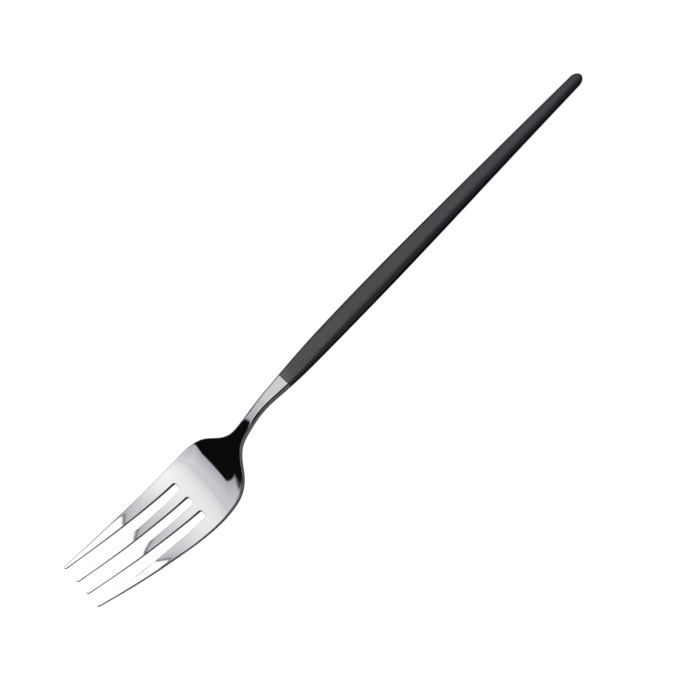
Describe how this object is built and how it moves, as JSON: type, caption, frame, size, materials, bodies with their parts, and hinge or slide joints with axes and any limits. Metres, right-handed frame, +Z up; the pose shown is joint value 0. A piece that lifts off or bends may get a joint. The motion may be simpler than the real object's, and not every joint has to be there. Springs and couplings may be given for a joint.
{
  "type": "dinner fork",
  "caption": "Slender table fork: mirror-polished steel tines, bowl and neck on a flat tang, bonded into a thin matt black handle with a round end.",
  "frame": {"origin": "middle of the fork's length and width, on the table it lies on", "axes": "+X from the tines to the handle's end, +Z up with the fork lying tines up, +Y to the left seen from the handle"},
  "size_m": [0.215, 0.0256, 0.0179],
  "materials": {
    "polished_steel": "mirror-polished stainless steel",
    "black_handle": "matt black moulded resin with a soft sheen",
    "adhesive": "cured epoxy, hidden inside the handle"
  },
  "bodies": {
    "root": {"fork_head": "polished_steel", "handle": "black_handle", "tang_adhesive": "adhesive"}
  },
  "joints": []
}
